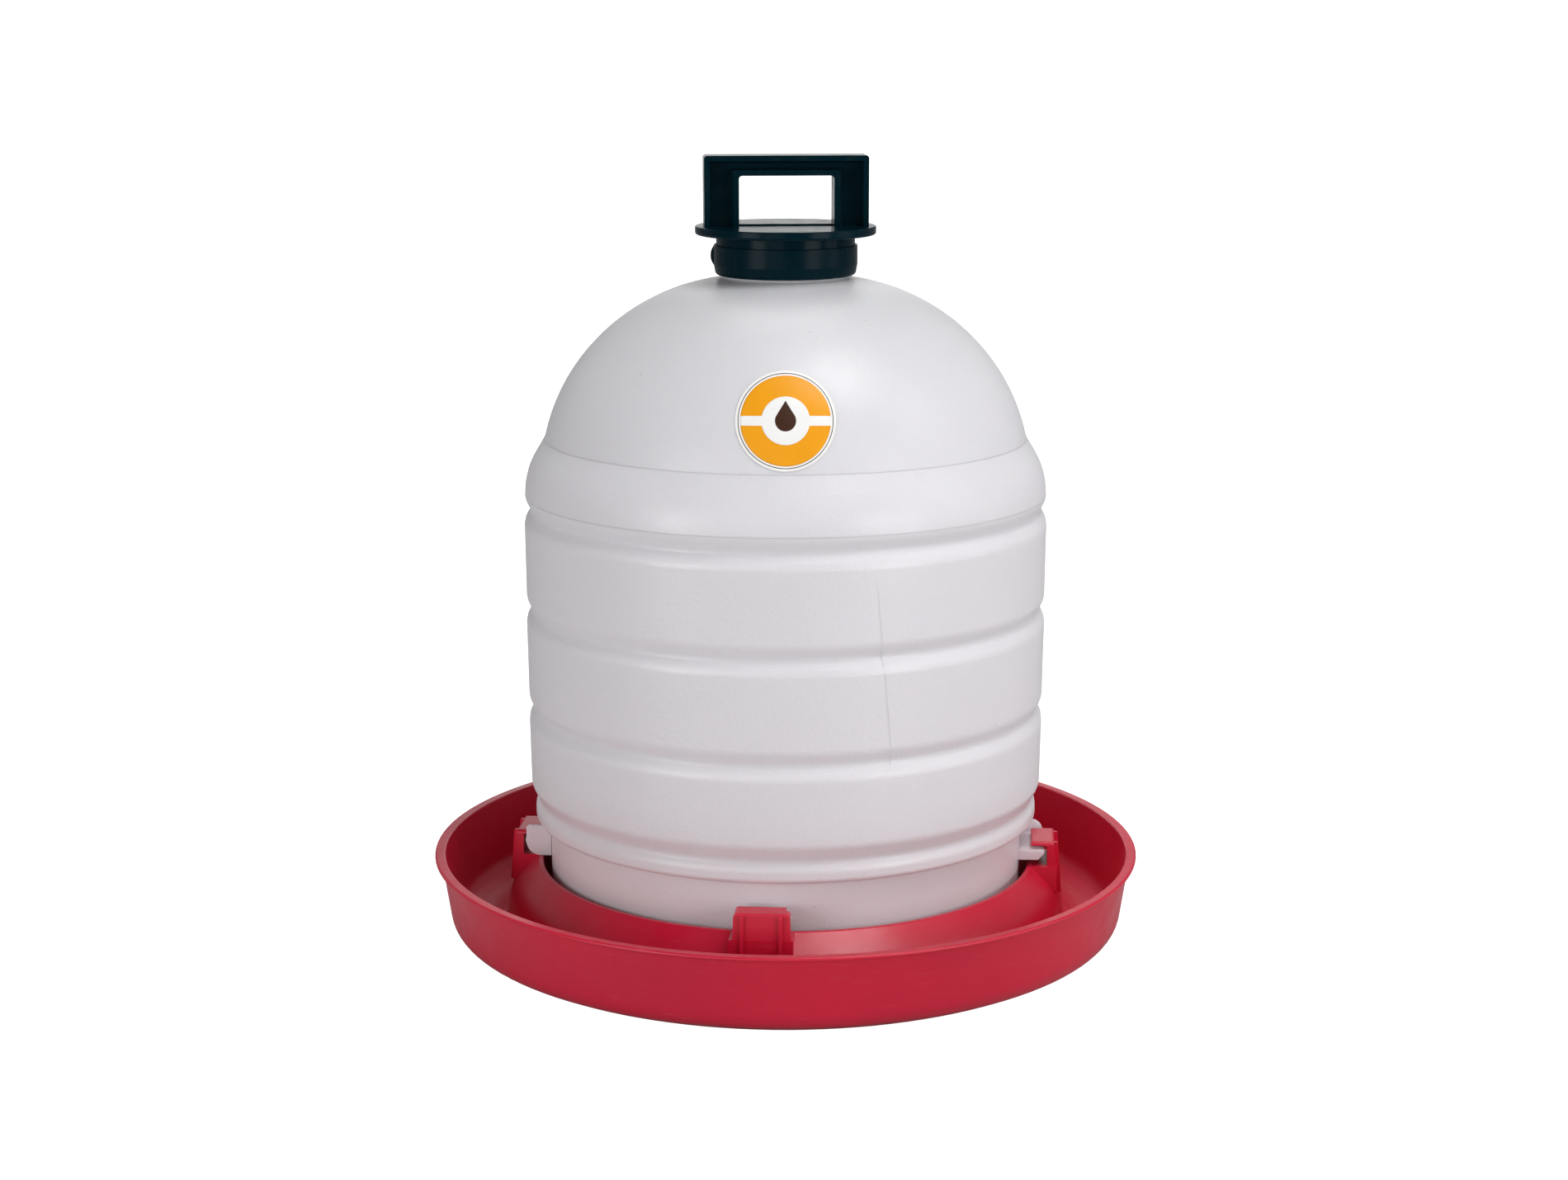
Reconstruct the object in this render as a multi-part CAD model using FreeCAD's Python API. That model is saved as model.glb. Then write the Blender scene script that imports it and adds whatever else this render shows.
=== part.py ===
# Top-filled siphon drinker for poultry, of the 30 litre class, in millimetres.
# +Z is up. The origin is the centre of the tray's underside, on the floor, on the axis of the tank.
# A ribbed tank with a screw-free bayonet foot stands in a round drinking tray, under four hooks.
# Turned home (as built here) the tank is locked and its outlet valve is held open by two ramps
# on the tray. Turned counter-clockwise the tank comes free of the hooks and the valve drops shut.
import FreeCAD
import Part
import math
import os

os.makedirs("parts", exist_ok=True)
V = FreeCAD.Vector

# ---- driving dimensions -------------------------------------------------------------------
TRAY_R = 230.0            # outside radius of the drinking tray's rim
TRAY_H = 56.0             # height of the rim above the floor
WALL = 2.8                # moulded wall of the tray
RING_R = 159.5            # inside radius of the well that the tank's foot stands in
RING_TOP = 48.7           # top of the ring round that well
PLATEAU_R = 121.0         # raised centre of the tray
PLATEAU_TOP = 38.0
TROUGH_IN_R = 182.2       # inner wall of the drinking trough, below its slope
SLOPE_SUM = RING_TOP + 162.7   # r + z on the 45 degree slope outside the ring

HOOK_TURN = -4.7          # azimuth of the hooks, from the main axes
HOOK_COUNT = 4
HOOK_IN_R = 161.5         # free edge of the hook's top plate
HOOK_OUT_R = 178.5        # outer face of the hook's post, at the shelf
HOOK_LEAN = 2.2           # the outer face leans in by this much at the top
HOOK_POST_R = 172.0       # inner face of the hook's post
HOOK_TOP = 64.5
HOOK_PLATE = 2.4          # thickness of the top plate
HOOK_TOP_HALF = 17.0      # half width at the top
HOOK_FOOT_HALF = 17.7     # half width at the shelf
SHELF_TOP = 48.6
SHELF_HALF = 19.8
RIB_FOOT_Z = 29.5         # foot of the hook's outer ribs

TANK_WALL = 3.0
SKIRT_R = 154.1           # outside radius of the tank's foot
SKIRT_BOTTOM = 7.1
BODY_R = 167.0            # outside radius of the tank's body
FLOOR_Z = 58.0            # underside of the tank's floor at the outlet
FLOOR_T = 3.0
FLOOR_RISE = 4.0          # the floor falls this much towards the outlet
DOME_C = (27.0, 298.4)    # centre and radius of the arc that the dome turns on
DOME_R = 130.1
CREASE_Z = 326.9          # where the dome meets the shoulder
LUG_TIP_R = 170.0         # tip of the lugs that slide under the hooks
LUG_SPAN = (-18.6, 20.0)  # ends of a lug that has a stop wall, along the tank's foot
LUG_SHORT_SPAN = (-15.5, 14.5)   # ends of a lug without one
LUG_STOP_TOP = 68.8       # top of the walls that stop the lugs at the sides
LUG_STOP_ROUNDS = (8.0, 0, 1.6, 0)   # upper corner of each lug's stop wall; 0 is a lug without one
VENT_R = 2.5              # holes that let the air out of the hollow foot
VENT_Z = 54.6
NECK_R = 39.0
NECK_TOP = 452.9

CAP_R = 57.2
CAP_TOP = 460.8
CAP_T = 5.4
CAP_SKIRT_R = 43.9
CAP_SKIRT_T = 2.5
CAP_SKIRT_BOTTOM = 435.0
GASKET_T = 2.5
HANDLE_TURN = 4.0         # the handle stands this many degrees off the X axis
HANDLE_HALF = 51.7
HANDLE_TOP = 504.9
HANDLE_DEPTH = 22.0
HANDLE_FLANGE = 3.45
HANDLE_WEB = 4.0
GRIP_HALF = 29.9          # finger opening
GRIP_TOP = 492.4
COLLAR_R = 45.5
COLLAR_BOTTOM = 430.0
COLLAR_TOP = 449.0

WATER_Z = 51.0            # mouth of the outlet, which sets the water level
LIFT = 4.0                # how far the valve stands open
UNLOCK_DEG = 15.0         # turn that frees the tank and shuts the valve
BUSH_R = 18.0             # outside radius of the valve body's tube
BUSH_T = 3.5
SEAT_Z = 70.0
STEM = 5.0                # side of the square valve stem
STEM_FOOT_Z = 46.2        # height of the valve feet's centres while the valve is open
FOOT_GAP = 3.1            # those centres above the ramp's surface
ARM_R = 20.0              # radius at which the valve's feet ride on the ramps
SEAL_T = 3.0
HEAD_T = 3.0
SEAL_Z = SEAT_Z + LIFT + 0.1
CLIP_Z = 49.0
CLIP_T = 1.2
SPRING_WIRE_R = 0.6
GUIDE_Z = (60.0, 66.0)    # where the valve body guides the stem


# ---- helpers -------------------------------------------------------------------------------
def unit(dx, dz):
    size = math.hypot(dx, dz)
    return dx / size, dz / size


def path_edges(corners, closed=True):
    """Lines and tangent arcs through (x, z, corner radius), in the X-Z plane."""
    count = len(corners)
    starts, ends, arcs = [], [], []
    for i, (x, z, radius) in enumerate(corners):
        before = corners[i - 1]
        after = corners[(i + 1) % count]
        if radius <= 0 or (not closed and i in (0, count - 1)):
            starts.append((x, z))
            ends.append((x, z))
            arcs.append(None)
            continue
        ax, az = unit(x - before[0], z - before[1])
        bx, bz = unit(after[0] - x, after[1] - z)
        half = math.acos(max(-1.0, min(1.0, ax * bx + az * bz))) / 2
        reach = radius * math.tan(half)
        mx, mz = unit(bx - ax, bz - az)
        middle = radius / math.cos(half) - radius
        starts.append((x - ax * reach, z - az * reach))
        ends.append((x + bx * reach, z + bz * reach))
        arcs.append((x + mx * middle, z + mz * middle))
    edges = []
    for i in range(count):
        if arcs[i]:
            points = [V(p[0], 0, p[1]) for p in (starts[i], arcs[i], ends[i])]
            edges.append(Part.Arc(*points).toShape())
        if not closed and i == count - 1:
            break
        p = V(ends[i][0], 0, ends[i][1])
        q = V(starts[(i + 1) % count][0], 0, starts[(i + 1) % count][1])
        if (q - p).Length > 1e-6:
            edges.append(Part.LineSegment(p, q).toShape())
    return edges


def outline(corners):
    return Part.Face(Part.Wire(path_edges(corners)))


def spin(corners, start=0.0, sweep=360.0):
    """Solid of revolution about Z of an outline given as (r, z, corner radius)."""
    face = outline(corners)
    face.rotate(V(0, 0, 0), V(0, 0, 1), start)
    return face.revolve(V(0, 0, 0), V(0, 0, 1), sweep)


def offset_corners(corners, distance):
    """The same path moved sideways, to its left where distance is positive."""
    moved = []
    count = len(corners)
    for i, (x, z, radius) in enumerate(corners):
        before = corners[max(i - 1, 0)]
        after = corners[min(i + 1, count - 1)]
        here = (x, z)
        ax, az = unit(x - before[0], z - before[1]) if i else unit(after[0] - x, after[1] - z)
        bx, bz = unit(after[0] - x, after[1] - z) if i < count - 1 else (ax, az)
        turn = ax * bz - az * bx
        nx, nz = unit(-(az + bz), ax + bx)
        step = distance / (nx * -az + nz * ax)
        new_radius = radius - distance * (1 if turn > 0 else -1)
        if radius <= 0:
            new_radius = 0
        moved.append((here[0] + nx * step, here[1] + nz * step, max(new_radius, 0)))
    return moved


def radial_slab(corners, t0, t1):
    """An outline in (r, z) made into a slab between two tangential offsets."""
    face = outline(corners)
    face.translate(V(0, t0, 0))
    return face.extrude(V(0, t1 - t0, 0))


def tangential_slab(corners, r0, r1):
    """An outline in (t, z) made into a slab between two radii, at azimuth 0."""
    face = outline(corners)
    face.rotate(V(0, 0, 0), V(0, 0, 1), 90)
    face.translate(V(r0, 0, 0))
    return face.extrude(V(r1 - r0, 0, 0))


def turned(shape, degrees):
    copy = shape.copy()
    copy.rotate(V(0, 0, 0), V(0, 0, 1), degrees)
    return copy


def hook_angles():
    return [HOOK_TURN + 360.0 / HOOK_COUNT * i for i in range(HOOK_COUNT)]


def joined(shapes):
    body = shapes[0].multiFuse(shapes[1:])
    return body.removeSplitter()


def box(x0, x1, y0, y1, z0, z1):
    return Part.makeBox(x1 - x0, y1 - y0, z1 - z0, V(x0, y0, z0))


def tube(r_in, r_out, z0, z1):
    return spin([(r_in, z0, 0), (r_out, z0, 0), (r_out, z1, 0), (r_in, z1, 0)])


# ---- drinking tray ---------------------------------------------------------------------------
def tray_shell():
    lip_edge = TRAY_H - 2.6
    upper = [
        (TRAY_R, TRAY_H, 1.3),
        (223.2, TRAY_H, 1.1),
        (216.6, 11.2, 11.0),
        (199.4, WALL, 27.0),
        (TROUGH_IN_R + 0.9, WALL, 4.0),
        (TROUGH_IN_R, SLOPE_SUM - TROUGH_IN_R, 27.0),
        (SLOPE_SUM - RING_TOP, RING_TOP, 1.0),
        (RING_R, RING_TOP, 1.0),
        (RING_R - 0.5, WALL, 4.0),
        (PLATEAU_R + 10.0, WALL, 4.0),
        (PLATEAU_R, PLATEAU_TOP, 6.0),
        (0, PLATEAU_TOP, 0),
    ]
    slope_under = SLOPE_SUM - WALL * math.sqrt(2)
    lower = [
        (TRAY_R, lip_edge, 1.2),
        (225.9, lip_edge, 0.8),
        (219.2, 9.4, 14.0),
        (200.0, 0, 30.0),
        (TROUGH_IN_R - 2.0, 0, 6.8),
        (TROUGH_IN_R - WALL, slope_under - TROUGH_IN_R + WALL, 24.0),
        (RING_R + WALL, slope_under - RING_R - WALL, 0.8),
        (RING_R + WALL - 0.5, 0, 6.8),
        (PLATEAU_R + 7.9, 0, 6.8),
        (PLATEAU_R - 2.1, PLATEAU_TOP - WALL, 3.2),
        (0, PLATEAU_TOP - WALL, 0),
    ]
    return spin(upper + lower[::-1])


def hook():
    """One inverted L on a base block, open at both sides, at azimuth 0."""
    top_round = 2.6
    bend = 1.4
    past_side = HOOK_FOOT_HALF + 12
    upright = tangential_slab(
        [
            (-HOOK_FOOT_HALF, SHELF_TOP - 4, 0),
            (HOOK_FOOT_HALF, SHELF_TOP - 4, 0),
            (HOOK_TOP_HALF, HOOK_TOP, top_round),
            (-HOOK_TOP_HALF, HOOK_TOP, top_round),
        ],
        HOOK_IN_R,
        HOOK_OUT_R,
    )
    side = radial_slab(
        [
            (HOOK_IN_R, HOOK_TOP - HOOK_PLATE, 0.9),
            (HOOK_POST_R, HOOK_TOP - HOOK_PLATE, 1.5),
            (HOOK_POST_R, SHELF_TOP - 4, 0),
            (HOOK_OUT_R, SHELF_TOP - 4, 0),
            (HOOK_OUT_R - HOOK_LEAN, HOOK_TOP, bend),
            (HOOK_IN_R, HOOK_TOP, 0.9),
        ],
        -past_side,
        past_side,
    )
    notch_depth = 7.0
    notch_t = 14.0
    notch = box(HOOK_IN_R - 1, HOOK_IN_R + notch_depth, notch_t, HOOK_FOOT_HALF + 1,
                HOOK_TOP - HOOK_PLATE - 1, HOOK_TOP + 1)
    base_in_r = 162.2
    base_side = radial_slab(
        [
            (base_in_r, SHELF_TOP, 0),
            (base_in_r, SLOPE_SUM - base_in_r - 1.4, 0),
            (HOOK_OUT_R, SLOPE_SUM - HOOK_OUT_R - 1.8, 0),
            (HOOK_OUT_R, SHELF_TOP, 0),
        ],
        -past_side,
        past_side,
    )
    base_front = tangential_slab(
        [
            (-SHELF_HALF - 2.0, RIB_FOOT_Z - 1, 0),
            (SHELF_HALF - 0.4, RIB_FOOT_Z - 1, 0),
            (SHELF_HALF - 0.8, SHELF_TOP, 0),
            (-SHELF_HALF, SHELF_TOP, 0),
        ],
        base_in_r - 1,
        HOOK_OUT_R + 1,
    )
    ribs = []
    rib_half_t = 1.1
    for t in (-11.7, 11.7):
        rib = radial_slab(
            [
                (HOOK_POST_R + 1, RIB_FOOT_Z, 0),
                (HOOK_OUT_R + 3.2, RIB_FOOT_Z, 0),
                (HOOK_OUT_R + 0.4, HOOK_TOP - 1.0, 1.0),
                (HOOK_POST_R + 1, HOOK_TOP - 1.0, 0),
            ],
            t - rib_half_t,
            t + rib_half_t,
        )
        ribs.append(rib)
    return [upright.common(side).cut(notch), base_side.common(base_front)] + ribs


def skirt_rests():
    """Low radial ribs on the well's floor, which hold the tank's foot off it so that water passes."""
    rib = box(PLATEAU_R + 8, RING_R + 1, -1.5, 1.5, WALL - 1, SKIRT_BOTTOM - 0.1)
    return [turned(rib, 22.5 + 45 * i) for i in range(8)]


def valve_ramps():
    """Two sloping blocks on the plateau. The valve's feet stand on them while the tank is locked."""
    slope = LIFT / (ARM_R * math.radians(UNLOCK_DEG))
    root = PLATEAU_TOP - 1
    rest_z = STEM_FOOT_Z - FOOT_GAP
    high_t = -4.0
    low_t = (rest_z - root) / slope
    ramp = tangential_slab(
        [
            (high_t - 3.0, root, 0),
            (low_t, root, 0),
            (high_t, rest_z - slope * high_t, 0),
            (high_t - 3.0, rest_z - slope * high_t, 0),
        ],
        ARM_R - 1.8,
        ARM_R + 2.5,
    )
    return [turned(ramp, 0), turned(ramp, 180)]


def tray():
    extras = []
    for angle in hook_angles():
        extras += [turned(piece, angle) for piece in hook()]
    return joined([tray_shell()] + extras + skirt_rests() + valve_ramps())


# ---- tank ---------------------------------------------------------------------------------------
def groove(z, valley_r, above_r, below_r, half=7.8):
    """A V-shaped stiffening groove round the tank, from the top down."""
    return [(above_r, z + half, 10.0), (valley_r, z, 4.5), (below_r, z - half, 10.0)]


def tank_outside():
    start = math.radians(80.0)
    end = math.asin((CREASE_Z - DOME_C[1]) / DOME_R)
    middle = (start + end) / 2
    reach = DOME_R / math.cos((start - end) / 2)
    dome_corner = (DOME_C[0] + reach * math.cos(middle), DOME_C[1] + reach * math.sin(middle))
    dome_start = (DOME_C[0] + DOME_R * math.cos(start), DOME_C[1] + DOME_R * math.sin(start))
    neck_foot = dome_start[1] + (dome_start[0] - NECK_R) / math.tan(start)
    crease_r = DOME_C[0] + DOME_R * math.cos(end)
    path = [
        (NECK_R, NECK_TOP, 0.6),
        (NECK_R, neck_foot, 2.5),
        (dome_corner[0], dome_corner[1], DOME_R),
        (crease_r, CREASE_Z, 2.0),
        (BODY_R, 304.7, 48.0),
    ]
    path += groove(281.9, 163.2, BODY_R, 167.6)
    path += groove(217.6, 163.5, 167.1, 167.4)
    path += groove(152.8, 163.2, 166.7, 166.8)
    path += [(166.0, 102.2, 9.0), (160.8, 92.3, 4.5), (163.5, 87.4, 8.0)]
    path += [(163.5, 78.6, 3.5), (SKIRT_R, 78.6, 1.5), (SKIRT_R, SKIRT_BOTTOM, 0.8)]
    return path


def tank_shell():
    outside = tank_outside()
    inside = offset_corners(outside[:-1] + [(SKIRT_R, FLOOR_Z + FLOOR_T + FLOOR_RISE, 3.0)], -TANK_WALL)
    inside[0] = (inside[0][0], NECK_TOP, 0.6)
    wall_r = SKIRT_R - TANK_WALL
    inside[-1] = (wall_r, FLOOR_Z + FLOOR_T + FLOOR_RISE, 3.0)
    floor = [
        (wall_r, SKIRT_BOTTOM, 0.8),
        (wall_r, FLOOR_Z + FLOOR_RISE, 2.0),
        (28.0, FLOOR_Z, 0),
        (BUSH_R + 0.2, FLOOR_Z, 0),
        (BUSH_R + 0.2, FLOOR_Z + FLOOR_T, 0),
        (28.0, FLOOR_Z + FLOOR_T, 0),
    ]
    return spin(outside + floor + inside[::-1])


def foot_lug(stop_top_round):
    """Bayonet tab that slides under a hook, at azimuth 0. A corner radius adds the wall that stops it."""
    root = SKIRT_R - 1.2
    tip = LUG_TIP_R
    low_t, high_t = LUG_SPAN if stop_top_round else LUG_SHORT_SPAN
    tab = radial_slab(
        [(root, 52.8, 0), (tip - 3.8, 53.0, 1.6), (tip, 57.2, 1.2), (tip, 60.4, 0.8), (root, 60.4, 0)],
        low_t,
        high_t,
    )
    lead_in = tangential_slab(
        [(low_t - 0.4, 58.6, 0), (low_t + 6.6, 61.0, 0), (low_t - 0.4, 61.0, 0)], root + 2.2, tip + 2.0
    )
    lug = tab.cut(lead_in)
    if stop_top_round:
        wall_r = tip - 0.8
        wall = [(root, RING_TOP + 0.3, 0), (wall_r, RING_TOP + 0.3, 9.0),
                (wall_r, LUG_STOP_TOP, stop_top_round), (root, LUG_STOP_TOP, 0)]
        lug = joined([lug, radial_slab(wall, high_t - 0.7, high_t + 2.0)])
    return lug


def neck_lugs():
    lug = spin([(NECK_R - 0.8, 443.6, 0), (41.0, 443.6, 0), (41.0, 447.6, 0.8), (NECK_R - 0.8, 448.4, 0)],
               HANDLE_TURN - 30, 60)
    return [lug, turned(lug, 180)]


def tank():
    rounds = zip(hook_angles(), LUG_STOP_ROUNDS)
    lugs = [turned(foot_lug(stop_top_round), angle) for angle, stop_top_round in rounds]
    body = joined([tank_shell()] + lugs + neck_lugs())
    for angle in (62.0, 118.0):
        vent = Part.makeCylinder(VENT_R, 20, V(SKIRT_R - 10, 0, VENT_Z), V(1, 0, 0))
        body = body.cut(turned(vent, angle))
    return body


# ---- filler cap, collar and gasket ---------------------------------------------------------------
def handle_pocket(depth_at_face, depth_at_web):
    """Tapered U-shaped recess between the handle's flanges, as a solid to cut away."""
    base = CAP_TOP

    def section(y, outer_draft, inner_draft):
        out_x = HANDLE_HALF - HANDLE_FLANGE - outer_draft
        out_z = HANDLE_TOP - HANDLE_FLANGE - outer_draft
        in_x = GRIP_HALF + HANDLE_FLANGE + inner_draft
        in_z = GRIP_TOP + HANDLE_FLANGE
        points = [
            (-out_x, base), (-out_x, out_z), (out_x, out_z), (out_x, base),
            (in_x, base), (in_x, in_z), (-in_x, in_z), (-in_x, base),
        ]
        vectors = [V(x, y, z) for x, z in points]
        return Part.makePolygon(vectors + [vectors[0]])

    return Part.makeLoft([section(depth_at_face, 0.0, 0.0), section(depth_at_web, 1.6, 2.6)], True, True)


def handle():
    half = HANDLE_DEPTH / 2
    frame = outline(
        [
            (-HANDLE_HALF, CAP_TOP - 1, 0), (-HANDLE_HALF, HANDLE_TOP, 2.0),
            (HANDLE_HALF, HANDLE_TOP, 2.0), (HANDLE_HALF, CAP_TOP - 1, 0),
            (GRIP_HALF, CAP_TOP - 1, 0), (GRIP_HALF, GRIP_TOP, 2.0),
            (-GRIP_HALF, GRIP_TOP, 2.0), (-GRIP_HALF, CAP_TOP - 1, 0),
        ]
    )
    frame.translate(V(0, -half, 0))
    frame = frame.extrude(V(0, HANDLE_DEPTH, 0))
    web = HANDLE_WEB / 2
    frame = frame.cut(handle_pocket(-half, -web)).cut(handle_pocket(half, web))
    rib = box(-GRIP_HALF - 1, GRIP_HALF + 1, -1.5, 1.5, CAP_TOP - 1, CAP_TOP + 1.0)
    return turned(joined([frame, rib]), HANDLE_TURN)


def cap():
    under = CAP_TOP - CAP_T
    inner_r = CAP_SKIRT_R - CAP_SKIRT_T
    lid = spin(
        [
            (0, CAP_TOP, 0), (CAP_R, CAP_TOP, 0.8), (CAP_R, under, 1.6), (CAP_SKIRT_R, under, 0.8),
            (CAP_SKIRT_R, CAP_SKIRT_BOTTOM, 0.5), (inner_r, CAP_SKIRT_BOTTOM, 0.5),
            (inner_r, under, 0), (0, under, 0),
        ]
    )
    ledge = spin([(39.5, 438.8, 0), (inner_r + 0.8, 438.8, 0), (inner_r + 0.8, 443.0, 0), (39.5, 443.0, 0)],
                 HANDLE_TURN - 28, 56)
    return joined([lid, handle(), ledge, turned(ledge, 180)])


def cap_gasket():
    top = CAP_TOP - CAP_T
    return tube(NECK_R - TANK_WALL, CAP_SKIRT_R - CAP_SKIRT_T - 0.3, top - GASKET_T, top)


def collar():
    ring = spin(
        [
            (NECK_R, COLLAR_BOTTOM + 2.4, 0), (NECK_R + 2.4, COLLAR_BOTTOM, 0),
            (COLLAR_R - 1.2, COLLAR_BOTTOM, 2.6), (COLLAR_R, 437.0, 4.0),
            (COLLAR_R, COLLAR_TOP, 0.4), (CAP_SKIRT_R + 0.3, COLLAR_TOP, 0.4),
            (CAP_SKIRT_R + 0.3, CAP_SKIRT_BOTTOM - 0.4, 0), (NECK_R, CAP_SKIRT_BOTTOM - 0.4, 0),
        ]
    )
    bump_h, bump_out, bump_w = 14.0, 1.8, 9.0
    middle = COLLAR_TOP - bump_h / 2
    chord = [V(COLLAR_R - 1.0, 0, middle - bump_h / 2), V(COLLAR_R + bump_out, 0, middle),
             V(COLLAR_R - 1.0, 0, middle + bump_h / 2)]
    edges = [Part.Arc(*chord).toShape(), Part.LineSegment(chord[2], chord[0]).toShape()]
    bump = Part.Face(Part.Wire(edges))
    bump.translate(V(0, -bump_w / 2, 0))
    bump = bump.extrude(V(0, bump_w, 0))
    return joined([ring, turned(bump, 174.0)])


# ---- outlet valve ----------------------------------------------------------------------------------
def valve_body():
    bore = BUSH_R - BUSH_T
    shell = spin(
        [
            (bore, WATER_Z, 0.6), (BUSH_R, WATER_Z, 0.6), (BUSH_R, FLOOR_Z - 5.5, 0),
            (25.0, FLOOR_Z - 5.5, 1.0), (25.0, FLOOR_Z - 2.5, 0.6), (BUSH_R, FLOOR_Z - 2.5, 0),
            (BUSH_R, SEAT_Z, 0.8), (bore, SEAT_Z, 0.8),
        ]
    )
    hub = box(-5.5, 5.5, -5.5, 5.5, *GUIDE_Z)
    arm = box(-bore - 0.5, bore + 0.5, -1.25, 1.25, *GUIDE_Z)
    bore_half = STEM / 2 + 0.3
    hole = box(-bore_half, bore_half, -bore_half, bore_half, GUIDE_Z[0] - 1, GUIDE_Z[1] + 1)
    return joined([shell, hub, arm, turned(arm, 90)]).cut(hole)


def valve_gasket():
    return tube(BUSH_R + 0.1, 25.0, FLOOR_Z - 2.5, FLOOR_Z)


def valve_nut():
    low = FLOOR_Z + FLOOR_T
    across = 26.0
    corners = [V(across * math.cos(math.radians(60 * i)), across * math.sin(math.radians(60 * i)), low)
               for i in range(6)]
    hexagon = Part.Face(Part.makePolygon(corners + [corners[0]])).extrude(V(0, 0, 6.0))
    rounded = spin([(0, low, 0), (25.2, low, 0), (25.2, low + 6.0, 1.6), (0, low + 6.0, 0)])
    return hexagon.common(rounded).cut(Part.makeCylinder(BUSH_R, 8, V(0, 0, low - 1)))


def valve_stem():
    half = STEM / 2
    bar = box(-half, half, -half, half, STEM_FOOT_Z - 1.0, SEAL_Z + SEAL_T + 0.5)
    head = spin([(0, SEAL_Z + SEAL_T, 0), (19.5, SEAL_Z + SEAL_T, 0.6),
                 (19.5, SEAL_Z + SEAL_T + HEAD_T, 1.4), (0, SEAL_Z + SEAL_T + HEAD_T, 0)])
    foot_r = 2.0
    arm = Part.makeCylinder(foot_r, 2 * (ARM_R + 2.0), V(-ARM_R - 2.0, 0, STEM_FOOT_Z), V(1, 0, 0))
    hub = Part.makeCylinder(4.2, 4.0, V(0, 0, STEM_FOOT_Z - 2.0))
    return joined([bar, head, arm, hub])


def valve_seal():
    ring = tube(0, 18.2, SEAL_Z, SEAL_Z + SEAL_T)
    half = STEM / 2
    return ring.cut(box(-half, half, -half, half, SEAL_Z - 1, SEAL_Z + SEAL_T + 1))


def valve_clip():
    """Slotted disc pushed on the stem, on which the spring stands."""
    clip_r = 6.4
    half = STEM / 2
    low, high = CLIP_Z - 1, CLIP_Z + CLIP_T + 1
    ring = tube(0, clip_r, CLIP_Z, CLIP_Z + CLIP_T)
    slot = box(0, clip_r + 1, -1.6, 1.6, low, high)
    return ring.cut(box(-half, half, -half, half, low, high)).cut(slot)


def valve_spring():
    """Coil of wire. The wire's section is a twelve-sided polygon, which is close to round."""
    mean_r = 4.6
    turns = 4.5
    sides = 12
    end_gap = SPRING_WIRE_R + 0.1
    low = CLIP_Z + CLIP_T + end_gap
    high = GUIDE_Z[0] - end_gap
    helix = Part.makeHelix((high - low) / turns, high - low, mean_r)
    corners = []
    for i in range(sides):
        angle = 2 * math.pi * (i + 0.5) / sides
        corners.append(V(mean_r + SPRING_WIRE_R * math.cos(angle), 0, SPRING_WIRE_R * math.sin(angle)))
    section = Part.makePolygon(corners + [corners[0]])
    coil = Part.Wire(helix.Edges).makePipeShell([section], True, True)
    coil.translate(V(0, 0, low))
    return coil


# ---- label and output --------------------------------------------------------------------------------
def round_label():
    thickness = 0.35
    radius = 29.75
    centre_angle = math.radians(27.1)
    centre = V(0, -(DOME_C[0] + DOME_R * math.cos(centre_angle)), DOME_C[1] + DOME_R * math.sin(centre_angle))
    tilt = math.radians(8.5)
    along = V(0, math.cos(tilt), -math.sin(tilt))
    low, high = math.radians(5), math.radians(50)
    profile = []
    for size, first, last in ((DOME_R, low, high), (DOME_R + thickness, high, low)):
        points = []
        for angle in (first, (first + last) / 2, last):
            points.append(V(DOME_C[0] + size * math.cos(angle), 0, DOME_C[1] + size * math.sin(angle)))
        profile.append((points, Part.Arc(*points).toShape()))
    (inner, inner_arc), (outer, outer_arc) = profile
    edges = [inner_arc, Part.LineSegment(inner[2], outer[0]).toShape(), outer_arc,
             Part.LineSegment(outer[2], inner[0]).toShape()]
    band = Part.Face(Part.Wire(edges))
    band.rotate(V(0, 0, 0), V(0, 0, 1), -120)
    skin = band.revolve(V(0, 0, 0), V(0, 0, 1), 60)
    punch = Part.makeCylinder(radius, 80, centre - along * 40, along)
    return skin.common(punch)


PARTS = {
    "drinking_tray": tray,
    "water_tank": tank,
    "round_label": round_label,
    "neck_collar": collar,
    "filler_cap": cap,
    "cap_gasket": cap_gasket,
    "valve_body": valve_body,
    "valve_gasket": valve_gasket,
    "valve_nut": valve_nut,
    "valve_stem": valve_stem,
    "valve_seal": valve_seal,
    "valve_clip": valve_clip,
    "valve_spring": valve_spring,
}

for name, make in PARTS.items():
    shape = make()
    if shape.ShapeType == "Compound" and len(shape.Solids) == 1:
        shape = shape.Solids[0]
    bb = shape.BoundBox
    print(name, "valid", shape.isValid(), "solids", len(shape.Solids), "volume %.0f" % shape.Volume,
          "z %.1f..%.1f" % (bb.ZMin, bb.ZMax))
    shape.exportStep("parts/" + name + ".step")
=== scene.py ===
# Looks, light and camera for the top-filled poultry drinker. Metres, in the part's own frame.
import math

import bpy
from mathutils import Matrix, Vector
from mathutils.bvhtree import BVHTree


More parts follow.
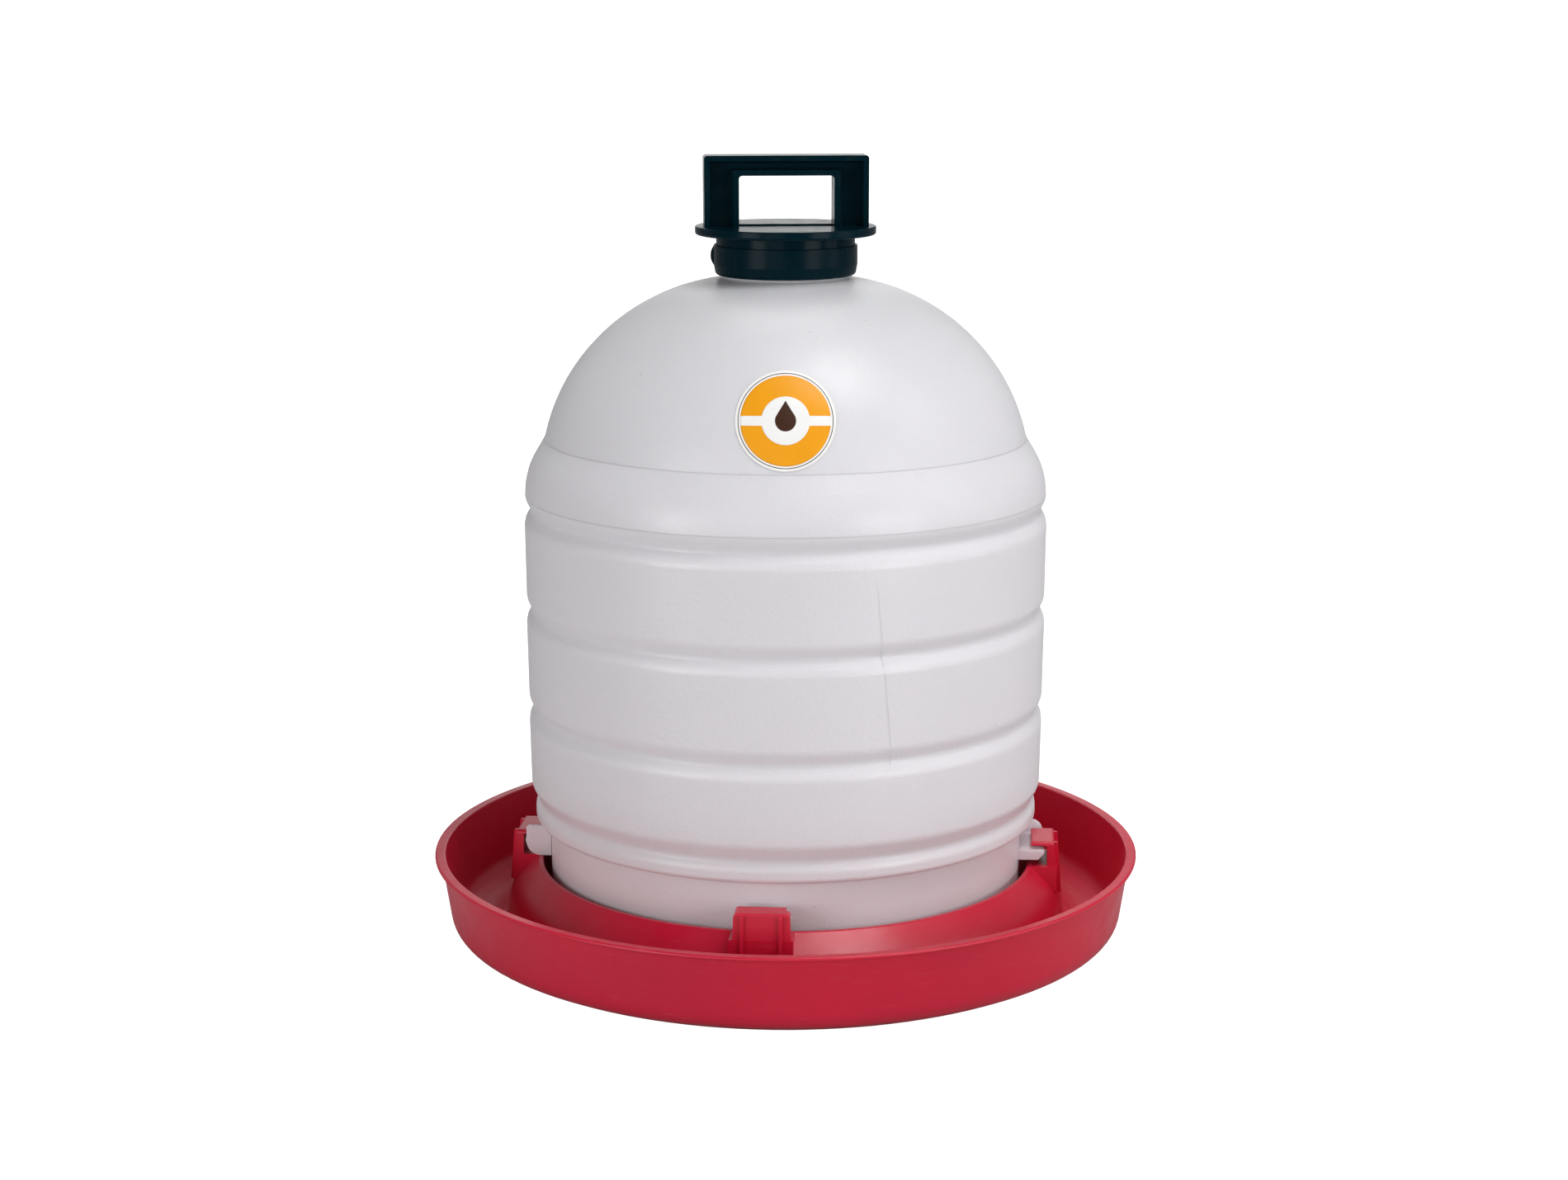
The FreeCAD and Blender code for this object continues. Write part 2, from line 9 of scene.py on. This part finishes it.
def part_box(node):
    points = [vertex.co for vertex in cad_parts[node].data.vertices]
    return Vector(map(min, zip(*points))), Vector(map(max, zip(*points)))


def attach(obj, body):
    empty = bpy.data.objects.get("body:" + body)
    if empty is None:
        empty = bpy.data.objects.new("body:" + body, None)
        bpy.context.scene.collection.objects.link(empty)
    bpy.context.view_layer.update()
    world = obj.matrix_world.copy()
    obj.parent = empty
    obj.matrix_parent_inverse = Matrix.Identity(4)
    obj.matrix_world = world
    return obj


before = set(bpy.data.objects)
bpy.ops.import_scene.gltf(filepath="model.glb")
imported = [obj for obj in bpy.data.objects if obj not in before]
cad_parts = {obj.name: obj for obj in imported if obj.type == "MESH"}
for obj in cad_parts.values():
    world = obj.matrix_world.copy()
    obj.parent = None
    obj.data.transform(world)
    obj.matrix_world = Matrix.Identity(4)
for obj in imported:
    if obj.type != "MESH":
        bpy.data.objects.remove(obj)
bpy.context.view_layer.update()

# ---- measures taken from the frame ---------------------------------------------------------
TRAY_LOW, TRAY_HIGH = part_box("drinking_tray")
TANK_LOW, TANK_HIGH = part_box("water_tank")
LABEL_LOW, LABEL_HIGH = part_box("round_label")
RIM_R = TRAY_HIGH.x
LABEL_R = LABEL_HIGH.x

# ---- measures of the looks ---------------------------------------------------------------------
LABEL_TILT = math.radians(8.5)     # the label's disc faces this much above the horizon
FOOT_MIDDLE = 0.085                # the tank's colour, with painted bounce light from the red tray, changes from here up to FOOT_TOP
FOOT_TOP = 0.125
WALL_TOP = 0.28                    # and, with painted light through the ribbed wall, from here up to DOME_MIDDLE
DOME_MIDDLE = 0.42

# ---- soft boxes ------------------------------------------------------------------------------
LIGHT_SIZE = 1.0
LIGHT_DISTANCE = 2.4
LIGHT_AIM = Vector((0, 0, 0.25))

# ---- colours, linear -------------------------------------------------------------------------
RED = (0.60, 0.0075, 0.038)
MILK = (0.755, 0.742, 0.780)           # the dome
MILK_PAINTED_GLOW = (0.818, 0.776, 0.822)       # the ribbed wall: painted light, lighter and pinker where more light comes through
MILK_PAINTED_TRAY_BOUNCE = (0.775, 0.720, 0.758)      # the foot: painted pink light bounced up from the red tray
RUBBED_RED = (0.62, 0.05, 0.075)
DIRT = (0.30, 0.27, 0.25)
SCUFFED_DARK = (0.008, 0.020, 0.026)
DARK = (0.0004, 0.0115, 0.0175)
AMBER = (0.90, 0.365, 0.008)
BROWN = (0.055, 0.022, 0.012)
PAPER = (0.92, 0.915, 0.90)


# ---- node helpers ------------------------------------------------------------------------------
class Shader:
    """A material with a Principled shader, and short ways to add nodes to it."""

    def __init__(self, name, color, roughness, **sockets):
        self.material = bpy.data.materials.new(name)
        self.material.use_nodes = True
        self.nodes = self.material.node_tree.nodes
        self.links = self.material.node_tree.links
        self.bsdf = self.nodes["Principled BSDF"]
        self.bsdf.inputs["Base Color"].default_value = (*color, 1)
        self.bsdf.inputs["Roughness"].default_value = roughness
        for socket, value in sockets.items():
            self.bsdf.inputs[socket.replace("_", " ")].default_value = value
        self.coords = self.nodes.new("ShaderNodeTexCoord").outputs["Object"]

    def link(self, source, target):
        self.links.new(source, target)

    def fill(self, socket, value):
        """Sets a socket to a number or colour, or links it to another node's output."""
        if isinstance(value, tuple):
            socket.default_value = (*value, 1)
        elif isinstance(value, (int, float)):
            socket.default_value = value
        else:
            self.link(value, socket)

    def noise(self, scale, detail=2.0, vector=None):
        node = self.nodes.new("ShaderNodeTexNoise")
        node.inputs["Scale"].default_value = scale
        node.inputs["Detail"].default_value = detail
        self.link(vector or self.coords, node.inputs["Vector"])
        return node.outputs["Fac"]

    def specks(self, scale, size):
        """1 in sparse round specks and 0 between them."""
        node = self.nodes.new("ShaderNodeTexVoronoi")
        node.inputs["Scale"].default_value = scale
        self.link(self.coords, node.inputs["Vector"])
        near = self.remap(node.outputs["Distance"], size, size * 0.5, 0.0, 1.0)
        few = self.remap(self.noise(scale * 0.31, 0.0), 0.60, 0.64, 0.0, 1.0)
        return self.math("MULTIPLY", near, few)

    def stretched(self, x, y, z):
        """Object coordinates squeezed along each axis, so that noise is drawn out along the others."""
        node = self.nodes.new("ShaderNodeMapping")
        node.inputs["Scale"].default_value = (x, y, z)
        self.link(self.coords, node.inputs["Vector"])
        return node.outputs["Vector"]

    def remap(self, value, low, high, out_low, out_high):
        node = self.nodes.new("ShaderNodeMapRange")
        for i, number in enumerate((low, high, out_low, out_high), start=1):
            node.inputs[i].default_value = number
        self.link(value, node.inputs[0])
        return node.outputs[0]

    def math(self, operation, first, second=0.0):
        node = self.nodes.new("ShaderNodeMath")
        node.operation = operation
        self.fill(node.inputs[0], first)
        self.fill(node.inputs[1], second)
        return node.outputs[0]

    def mix(self, factor, first, second):
        node = self.nodes.new("ShaderNodeMix")
        node.data_type = "RGBA"
        self.fill(node.inputs[0], factor)
        self.fill(node.inputs[6], first)
        self.fill(node.inputs[7], second)
        return node.outputs[2]

    def bump(self, height, distance, strength=1.0, normal=None):
        node = self.nodes.new("ShaderNodeBump")
        node.inputs["Distance"].default_value = distance
        node.inputs["Strength"].default_value = strength
        self.link(height, node.inputs["Height"])
        if normal:
            self.link(normal, node.inputs["Normal"])
        return node.outputs["Normal"]

    def height(self):
        """The point's height above the floor, in metres."""
        node = self.nodes.new("ShaderNodeSeparateXYZ")
        self.link(self.coords, node.inputs[0])
        return node.outputs["Z"]

    def set(self, socket, value):
        self.link(value, self.bsdf.inputs[socket])


def tone(color, factor):
    return tuple(channel * factor for channel in color)


# ---- materials ------------------------------------------------------------------------------------
def tray_plastic():
    """Red moulded polypropylene: satin, fine-grained, with soft flow clouds and a few rub marks."""
    s = Shader("tray_red", RED, 0.34, Specular_IOR_Level=0.5)
    clouds = s.remap(s.noise(8.0, 4.0), 0.3, 0.7, 0.0, 1.0)
    color = s.mix(clouds, tone(RED, 0.93), tone(RED, 1.06))
    rubs = s.remap(s.noise(55.0, 6.0, s.stretched(1.0, 1.0, 9.0)), 0.60, 0.74, 0.0, 0.35)
    s.set("Base Color", s.mix(rubs, color, RUBBED_RED))
    s.set("Roughness", s.remap(s.noise(42.0, 5.0), 0.3, 0.7, 0.29, 0.40))
    waves = s.bump(s.noise(14.0, 2.0), 0.0010, 0.35)
    s.set("Normal", s.bump(s.noise(1500.0, 2.0), 0.00006, 0.55, waves))
    return s.material


def tank_plastic():
    """Milky polyethylene that light soaks through, with orange peel, soft waves and rare specks; painted
    light makes its ribbed wall lighter and pinker and its lowest band pinker.
    """
    s = Shader(
        "tank_white", MILK, 0.40, Specular_IOR_Level=0.45, Subsurface_Weight=0.40, Subsurface_Scale=0.010
    )
    s.bsdf.inputs["Subsurface Radius"].default_value = (1.0, 0.82, 0.86)
    clouds = s.remap(s.noise(6.0, 3.0), 0.3, 0.7, 0.0, 1.0)
    # Painted light: these height masks brighten the ribbed wall for light coming through it and tint the
    # lowest band pink for light bounced from the red tray.
    low = s.remap(s.height(), WALL_TOP, DOME_MIDDLE, 1.0, 0.0)
    foot = s.remap(s.height(), FOOT_MIDDLE, FOOT_TOP, 1.0, 0.0)
    wall = s.mix(foot, s.mix(low, MILK, MILK_PAINTED_GLOW), MILK_PAINTED_TRAY_BOUNCE)
    milk = s.mix(s.math("MULTIPLY", clouds, 0.05), wall, tone(MILK, 0.6))
    specks = s.math("MULTIPLY", s.specks(60.0, 0.05), 0.35)
    s.set("Base Color", s.mix(specks, milk, DIRT))
    s.set("Roughness", s.remap(s.noise(30.0, 5.0), 0.3, 0.7, 0.30, 0.40))
    waves = s.bump(s.noise(11.0, 2.0), 0.0016, 0.4)
    peel = s.bump(s.noise(400.0, 3.0), 0.00028, 0.7, waves)
    s.set("Normal", s.bump(s.noise(1400.0, 1.0), 0.00004, 0.5, peel))
    return s.material


def cap_plastic(name, roughness):
    """Near-black green polypropylene with a soft gloss, scuffed where hands reach it."""
    s = Shader(name, DARK, roughness, Specular_IOR_Level=0.05)
    scuffs = s.remap(s.noise(90.0, 6.0, s.stretched(1.0, 3.0, 1.0)), 0.55, 0.72, 0.0, 1.0)
    s.set("Base Color", s.mix(s.math("MULTIPLY", scuffs, 0.25), DARK, SCUFFED_DARK))
    s.set("Roughness", s.remap(scuffs, 0.0, 1.0, roughness - 0.03, roughness + 0.16))
    ripple = s.bump(s.noise(70.0, 3.0), 0.0005, 0.45)
    s.set("Normal", s.bump(s.noise(900.0, 2.0), 0.00005, 0.5, ripple))
    return s.material


def rubber():
    s = Shader("seal_rubber", (0.022, 0.022, 0.023), 0.7)
    s.set("Roughness", s.remap(s.noise(120.0, 4.0), 0.3, 0.7, 0.62, 0.8))
    s.set("Normal", s.bump(s.noise(1500.0, 2.0), 0.00008, 0.6))
    return s.material


def valve_plastic():
    s = Shader("valve_plastic", (0.06, 0.06, 0.066), 0.45)
    s.set("Roughness", s.remap(s.noise(60.0, 4.0), 0.3, 0.7, 0.38, 0.52))
    s.set("Normal", s.bump(s.noise(1200.0, 2.0), 0.00005, 0.5))
    return s.material


def spring_steel():
    s = Shader("spring_steel", (0.56, 0.56, 0.58), 0.28, Metallic=1.0)
    s.set("Roughness", s.remap(s.noise(200.0, 4.0), 0.3, 0.7, 0.2, 0.36))
    s.set("Normal", s.bump(s.noise(2500.0, 2.0), 0.00003, 0.4))
    return s.material


def label_ink(name, color):
    """Printed vinyl: smooth, a little uneven in its gloss."""
    s = Shader(name, color, 0.32, Specular_IOR_Level=0.3)
    clouds = s.remap(s.noise(70.0, 3.0), 0.3, 0.7, 0.0, 1.0)
    s.set("Base Color", s.mix(clouds, tone(color, 0.97), tone(color, 1.02)))
    s.set("Roughness", s.remap(s.noise(120.0, 3.0), 0.3, 0.7, 0.27, 0.38))
    return s.material


def dress(node, material):
    """Gives a CAD node its finish."""
    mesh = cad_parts[node].data
    if not mesh.materials:
        mesh.materials.append(material)
    for i in range(len(mesh.materials)):
        mesh.materials[i] = material


MILKY = tank_plastic()


def dress_nodes():
    seal = rubber()
    valve = valve_plastic()
    steel = spring_steel()
    dress("drinking_tray", tray_plastic())
    dress("water_tank", MILKY)
    dress("filler_cap", cap_plastic("cap_black", 0.22))
    dress("neck_collar", cap_plastic("collar_black", 0.30))
    dress("round_label", label_ink("label", PAPER))
    for name in ("cap_gasket", "valve_gasket", "valve_seal"):
        dress(name, seal)
    for name in ("valve_body", "valve_nut", "valve_stem"):
        dress(name, valve)
    for name in ("valve_clip", "valve_spring"):
        dress(name, steel)


# ---- pieces ------------------------------------------------------------------------------------------
def surface_of(node):
    """The CAD node's surface, ready for rays."""
    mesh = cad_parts[node].data
    return BVHTree.FromPolygons([v.co for v in mesh.vertices], [tuple(p.vertices) for p in mesh.polygons])


def add_mesh(name, points, faces, material, body):
    mesh = bpy.data.meshes.new(name)
    mesh.from_pydata(points, [], faces)
    mesh.materials.append(material)
    for face in mesh.polygons:
        face.use_smooth = True
    piece = bpy.data.objects.new(name, mesh)
    bpy.context.scene.collection.objects.link(piece)
    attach(piece, body)
    return piece


def label_print(name, inner, outer, proud, material, rings=10, steps=144):
    """A thin skin of ink on the label, between two outlines given as radius of angle."""
    label = surface_of("round_label")
    away = Vector((0, -math.cos(LABEL_TILT), math.sin(LABEL_TILT)))
    right = Vector((1, 0, 0))
    up = away.cross(right)
    middle = Vector((0, (LABEL_LOW.y + LABEL_HIGH.y) / 2, (LABEL_LOW.z + LABEL_HIGH.z) / 2))
    sunk = -0.00008
    clear_of_label = 0.05

    def on_label(flat, lift):
        start = middle + flat + away * clear_of_label
        hit = label.ray_cast(start, -away)[0]
        return hit + away * lift

    points = []
    for lift in (proud, sunk):
        for ring in range(rings + 1):
            for step in range(steps):
                angle = 2 * math.pi * step / steps
                near, far = inner(angle), outer(angle)
                radius = near + (far - near) * ring / rings
                flat = right * (radius * math.cos(angle)) + up * (radius * math.sin(angle))
                points.append(on_label(flat, lift))
    layer = (rings + 1) * steps
    faces = []
    for ring in range(rings):
        for step in range(steps):
            a = ring * steps + step
            b = ring * steps + (step + 1) % steps
            c, d = b + steps, a + steps
            faces.append((a, d, c, b))
            faces.append((a + layer, b + layer, c + layer, d + layer))
    last = rings * steps
    for step in range(steps):
        after = (step + 1) % steps
        faces.append((step, after, after + layer, step + layer))
        faces.append((last + after, last + step, last + step + layer, last + after + layer))
    return add_mesh(name, points, faces, material, "tank")


def drop_outline(round_r, tip_r):
    """Outline of a water drop with its tip up, as radius of angle: a circle and its two tangents."""
    tangent = math.acos(round_r / tip_r)

    def radius(angle):
        off_tip = abs((angle - math.pi / 2 + math.pi) % (2 * math.pi) - math.pi)
        return round_r / math.cos(max(tangent - off_tip, 0.0))

    return radius


def band_outline(centre_r, half_height, end_r):
    """Outline of a level band with a round centre, as radius of angle."""

    def radius(angle):
        band = half_height / max(abs(math.sin(angle)), 1e-6)
        return max(centre_r, min(end_r, band))

    return radius


def label_artwork():
    """An amber disc with a white band and centre, a brown drop and a thin brown ring: nobody's mark."""
    amber = label_ink("label_amber", AMBER)
    brown = label_ink("label_brown", BROWN)
    white = label_ink("label_white", PAPER)
    pinhole = 0.00004
    ink = 0.00006
    disc_r = LABEL_R * 0.90
    band = band_outline(LABEL_R * 0.482, LABEL_R * 0.097, disc_r)
    drop = drop_outline(LABEL_R * 0.21, LABEL_R * 0.40)
    label_print("label_disc", lambda a: pinhole, lambda a: disc_r, ink, amber, rings=24)
    label_print("label_ring", lambda a: LABEL_R * 0.935, lambda a: LABEL_R * 0.950, ink, brown, rings=2)
    label_print("label_band", lambda a: pinhole, band, ink * 2, white, rings=24, steps=360)
    label_print("label_drop", lambda a: pinhole, drop, ink * 3, brown, rings=12)


def tank_line(name, azimuth_low, azimuth_high, z_low, z_high, width, proud):
    """A fine raised line that the mould leaves, drawn up the tank's outside between two heights."""
    tank = surface_of("water_tank")
    step_length = 0.0015
    outside = 0.4
    sunk = 0.0001
    count = int((z_high - z_low) / step_length)
    points = []
    for i in range(count + 1):
        share = i / count
        azimuth = math.radians(azimuth_low + (azimuth_high - azimuth_low) * share)
        z = z_low + (z_high - z_low) * share
        out = Vector((math.cos(azimuth), math.sin(azimuth), 0))
        side = Vector((-out.y, out.x, 0)) * width / 2
        hit, normal = tank.ray_cast(out * outside + Vector((0, 0, z)), -out)[:2]
        fade = min(1.0, 8 * share, 8 * (1 - share))
        points.append(hit - side - normal * sunk)
        points.append(hit + normal * proud * fade)
        points.append(hit + side - normal * sunk)
    faces = [(0, 1, 2), (3 * count + 2, 3 * count + 1, 3 * count)]
    for i in range(count):
        a = 3 * i
        faces.append((a, a + 3, a + 4, a + 1))
        faces.append((a + 1, a + 4, a + 5, a + 2))
        faces.append((a + 2, a + 5, a + 3, a))
    return add_mesh(name, points, faces, MILKY, "tank")


def mould_lines():
    low = TANK_LOW.z + 0.088
    high = TANK_HIGH.z - 0.045
    for side, azimuth in (("right", 0), ("left", 180)):
        tank_line("parting_line_" + side, azimuth, azimuth, low, high, 0.0008, 0.00022)
    tank_line("crease_line", -67.1, -71.3, 0.140, 0.268, 0.0010, 0.00004)


# ---- camera -----------------------------------------------------------------------------------------
def camera():
    """Long lens, a little above the drinker's middle, looking down 12 degrees at it."""
    data = bpy.data.cameras.new("camera")
    data.sensor_width = 36.0
    data.lens = 63.44
    data.shift_x = -0.001
    data.clip_end = 50.0
    view = bpy.data.objects.new("camera", data)
    distance = 7.6202 * RIM_R
    above_rim = 2.3584 * RIM_R
    rim_height = 0.056
    look_down = 12.01
    view.location = (0, -distance, rim_height + above_rim)
    view.rotation_euler = (math.radians(90 - look_down), 0, 0)
    bpy.context.scene.collection.objects.link(view)
    bpy.context.scene.camera = view


# ---- stage and light -----------------------------------------------------------------------------------
def studio():
    """A round pale floor whose edge rises into a wall. Its own glow lights nothing but itself."""
    material = bpy.data.materials.new("studio")
    material.use_nodes = True
    shader = material.node_tree.nodes["Principled BSDF"]
    shader.inputs["Base Color"].default_value = (0.30, 0.30, 0.30, 1)
    shader.inputs["Roughness"].default_value = 0.9
    shader.inputs["Specular IOR Level"].default_value = 0.0
    shader.inputs["Emission Color"].default_value = (1, 1, 1, 1)
    shader.inputs["Emission Strength"].default_value = 1.0
    floor_r = 4.0
    bend = 1.5
    top = 6.0
    steps = 12
    around = 96
    rows = [(0.02, 0.0), (0.5, 0.0), (1.5, 0.0)]
    for i in range(steps + 1):
        angle = math.pi / 2 * i / steps
        rows.append((floor_r + bend * math.sin(angle), bend - bend * math.cos(angle)))
    rows.append((floor_r + bend, top))
    points = [(0, 0, 0)]
    for radius, z in rows:
        for j in range(around):
            angle = 2 * math.pi * j / around
            points.append((radius * math.cos(angle), radius * math.sin(angle), z))
    faces = [(0, 1 + j, 1 + (j + 1) % around) for j in range(around)]
    for i in range(len(rows) - 1):
        for j in range(around):
            a = 1 + i * around + j
            b = 1 + i * around + (j + 1) % around
            faces.append((a, a + around, b + around, b))
    mesh = bpy.data.meshes.new("studio")
    mesh.from_pydata(points, [], faces)
    mesh.materials.append(material)
    for face in mesh.polygons:
        face.use_smooth = True
    stage = bpy.data.objects.new("studio", mesh)
    bpy.context.scene.collection.objects.link(stage)
    lit = bpy.data.collections.new("lit_by_studio")
    lit.objects.link(stage)
    stage.light_linking.receiver_collection = lit


def soft_box(name, azimuth, elevation, power):
    """A square soft light aimed at the drinker's middle; azimuth 0 is the front and 90 is the right."""
    data = bpy.data.lights.new(name, "AREA")
    data.shape = "SQUARE"
    data.size = LIGHT_SIZE
    data.energy = power
    around, rise = math.radians(azimuth), math.radians(elevation)
    toward = Vector((math.sin(around) * math.cos(rise), -math.cos(around) * math.cos(rise), math.sin(rise)))
    lamp = bpy.data.objects.new(name, data)
    lamp.location = LIGHT_AIM + toward * LIGHT_DISTANCE
    lamp.rotation_euler = (-toward).to_track_quat("-Z", "Y").to_euler()
    lamp.visible_camera = False
    bpy.context.scene.collection.objects.link(lamp)


def lighting():
    """Low lights from both front corners, a high one from the right, and weaker ones beside and behind."""
    world = bpy.data.worlds.new("studio")
    world.use_nodes = True
    world.node_tree.nodes["Background"].inputs["Color"].default_value = (1, 1, 1, 1)
    world.node_tree.nodes["Background"].inputs["Strength"].default_value = 0.01
    bpy.context.scene.world = world
    soft_box("front", -15, 5, 4.2)
    soft_box("low_left", -45, 5, 17.5)
    soft_box("low_right", 45, 5, 15.0)
    soft_box("high_right", 45, 65, 26.0)
    soft_box("side_right", 75, 35, 5.4)
    soft_box("edge_right", 80, 5, 5.0)
    soft_box("high_back", 180, 65, 7.9)
    soft_box("low_back", 180, 35, 3.5)
    soft_box("rim_back", 180, 12, 2.1)


camera()
studio()
lighting()
dress_nodes()
label_artwork()
mould_lines()
bpy.context.scene.view_settings.view_transform = "Standard"
